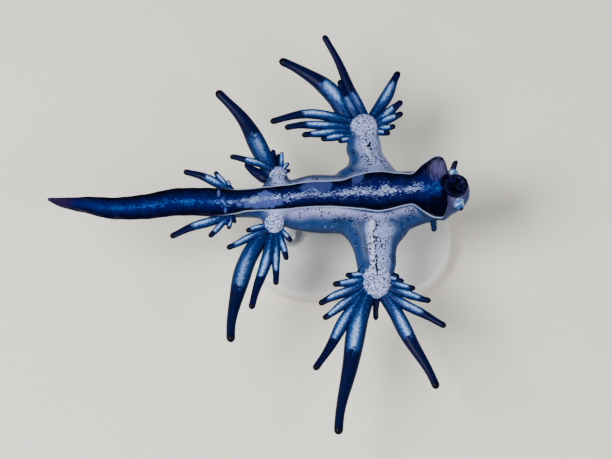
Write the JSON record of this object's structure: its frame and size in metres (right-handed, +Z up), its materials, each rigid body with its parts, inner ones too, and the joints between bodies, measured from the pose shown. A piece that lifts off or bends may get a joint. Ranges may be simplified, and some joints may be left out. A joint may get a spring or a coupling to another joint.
{
  "type": "blue dragon sea slug model",
  "caption": "Life-size still model of a blue dragon sea slug floating belly up, with fans of long tapered cerata, on a flat base with short rods.",
  "frame": {"origin": "centre of the flat underside of the stand's base", "axes": "+X towards the head, +Y towards the animal's right side, +Z up; the foot, which is the belly, faces +Z"},
  "size_m": [0.0353, 0.0363, 0.0102],
  "materials": {
    "blue_skin": "wet deep blue skin, near black at the foot's edges, speckled silver-blue along its middle",
    "silver_skin": "wet silvery lavender skin with fine dark specks, steel blue towards the edges",
    "ceras_skin": "wet blue cerata with a silver-white band along the upper side and navy tips",
    "mouth_skin": "wet blue-black folded mouth",
    "stand_white": "satin white",
    "brushed_rod": "brushed"
  },
  "bodies": {
    "root": {"head": "blue_skin", "mouth": "mouth_skin", "oral_tentacle_left": "ceras_skin", "oral_tentacle_right": "ceras_skin", "rhinophore_left": "ceras_skin", "rhinophore_right": "ceras_skin", "foot_collar": "blue_skin", "body_front": "blue_skin", "body_middle": "blue_skin", "body_rear": "blue_skin", "tail_base": "blue_skin", "tail_middle": "blue_skin", "tail_tip": "blue_skin", "arm_front_left": "silver_skin", "arm_front_right": "silver_skin", "cerata_front_left": "ceras_skin", "cerata_front_right": "ceras_skin", "cerata_middle_left": "ceras_skin", "cerata_middle_right": "ceras_skin", "cerata_rear_left": "ceras_skin", "cerata_rear_right": "ceras_skin", "stand_base": "stand_white", "stand_rod_front": "brushed_rod", "stand_rod_rear": "brushed_rod"}
  },
  "joints": []
}
